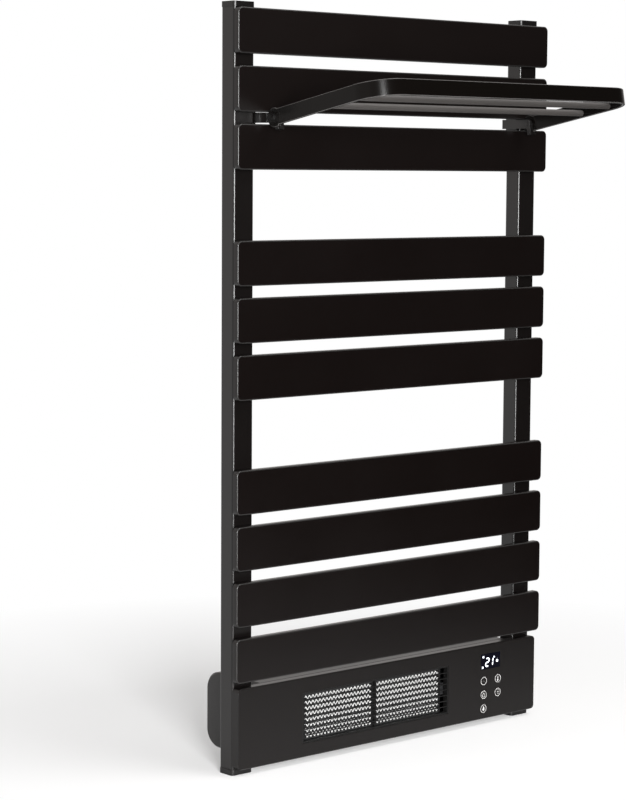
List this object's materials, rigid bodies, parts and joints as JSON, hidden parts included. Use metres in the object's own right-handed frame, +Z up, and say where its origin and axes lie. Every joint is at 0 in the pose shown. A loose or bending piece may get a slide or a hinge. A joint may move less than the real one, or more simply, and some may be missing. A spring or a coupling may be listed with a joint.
{
  "type": "heated towel rail",
  "caption": "Wall-mounted electric towel rail with flat slats on two posts, a folding towel shelf and a fan heater with display and keys at the foot.",
  "frame": {"origin": "middle of the four wall fixings, on the plane of the posts' backs", "axes": "+X to the right along the slats seen from the room, +Y into the wall, +Z up"},
  "size_m": [0.55, 0.3228, 0.96],
  "materials": {
    "frame_paint": "satin",
    "slat_paint": "satin",
    "shelf_paint": "satin",
    "panel_paint": "satin",
    "housing_paint": "satin",
    "cap_plastic": "satin",
    "grille_plastic": "satin",
    "key_plastic": "satin",
    "display_glass": "gloss",
    "core_aluminium": "bright",
    "foil": "satin",
    "holder_plastic": "matte",
    "fan_aluminium": "satin",
    "steel": "brushed",
    "black_steel": "satin",
    "duct_steel": "galvanised",
    "motor_paint": "satin",
    "bush_rubber": "matte",
    "board": "gloss",
    "switch_plastic": "matte",
    "gland_plastic": "satin"
  },
  "bodies": {
    "rail": {"air_duct": "duct_steel", "bottom_left_cap": "cap_plastic", "bottom_right_cap": "cap_plastic", "cable_gland": "gland_plastic", "control_board": "board", "core_holder": "holder_plastic", "display_module": "switch_plastic", "display_window": "display_glass", "fan_bush": "bush_rubber", "fan_motor": "motor_paint", "heater_panel": "panel_paint", "key_switches": "switch_plastic", "left_heating_core": "core_aluminium", "left_hinge_bracket": "black_steel", "left_post": "frame_paint", "outlet_grille": "grille_plastic", "power_board": "board", "rear_housing": "housing_paint", "right_heating_core": "core_aluminium", "right_hinge_bracket": "black_steel", "right_post": "frame_paint", "slat_01": "slat_paint", "slat_02": "slat_paint", "slat_03": "slat_paint", "slat_04": "slat_paint", "slat_05": "slat_paint", "slat_06": "slat_paint", "slat_07": "slat_paint", "slat_08": "slat_paint", "slat_09": "slat_paint", "slat_10": "slat_paint", "slat_back_01": "slat_paint", "slat_back_02": "slat_paint", "slat_back_03": "slat_paint", "slat_back_04": "slat_paint", "slat_back_05": "slat_paint", "slat_back_06": "slat_paint", "slat_back_07": "slat_paint", "slat_back_08": "slat_paint", "slat_back_09": "slat_paint", "slat_back_10": "slat_paint", "slat_clips": "black_steel", "slat_heating_foils": "foil", "thermal_cutout": "switch_plastic", "top_left_cap": "cap_plastic", "top_right_cap": "cap_plastic"},
    "shelf": {"shelf_bar": "shelf_paint", "shelf_inner_rod": "shelf_paint", "shelf_outer_rod": "shelf_paint", "left_pivot_pin": "steel", "right_pivot_pin": "steel"},
    "fan": {"fan_wheel": "fan_aluminium", "fan_shaft": "steel"},
    "key_1": {"key_1": "key_plastic"},
    "key_2": {"key_2": "key_plastic"},
    "key_3": {"key_3": "key_plastic"},
    "key_4": {"key_4": "key_plastic"},
    "key_5": {"key_5": "key_plastic"}
  },
  "joints": [
    {"name": "shelf_fold", "type": "hinge", "parent": "rail", "child": "shelf", "pos_m": [0, -0.0536, 0.3394], "axis": [-1, 0, 0], "range_deg": [0, 81]},
    {"name": "fan_spin", "type": "hinge", "parent": "rail", "child": "fan", "pos_m": [-0.0306, 0.024, -0.417], "axis": [1, 0, 0], "continuous": true},
    {"name": "key_1_press", "type": "slide", "parent": "rail", "child": "key_1", "axis": [0, 1, 0], "range_m": [0, 0.0005], "stiffness_N_per_m": 1500},
    {"name": "key_2_press", "type": "slide", "parent": "rail", "child": "key_2", "axis": [0, 1, 0], "range_m": [0, 0.0005], "stiffness_N_per_m": 1500},
    {"name": "key_3_press", "type": "slide", "parent": "rail", "child": "key_3", "axis": [0, 1, 0], "range_m": [0, 0.0005], "stiffness_N_per_m": 1500},
    {"name": "key_4_press", "type": "slide", "parent": "rail", "child": "key_4", "axis": [0, 1, 0], "range_m": [0, 0.0005], "stiffness_N_per_m": 1500},
    {"name": "key_5_press", "type": "slide", "parent": "rail", "child": "key_5", "axis": [0, 1, 0], "range_m": [0, 0.0005], "stiffness_N_per_m": 1500}
  ]
}
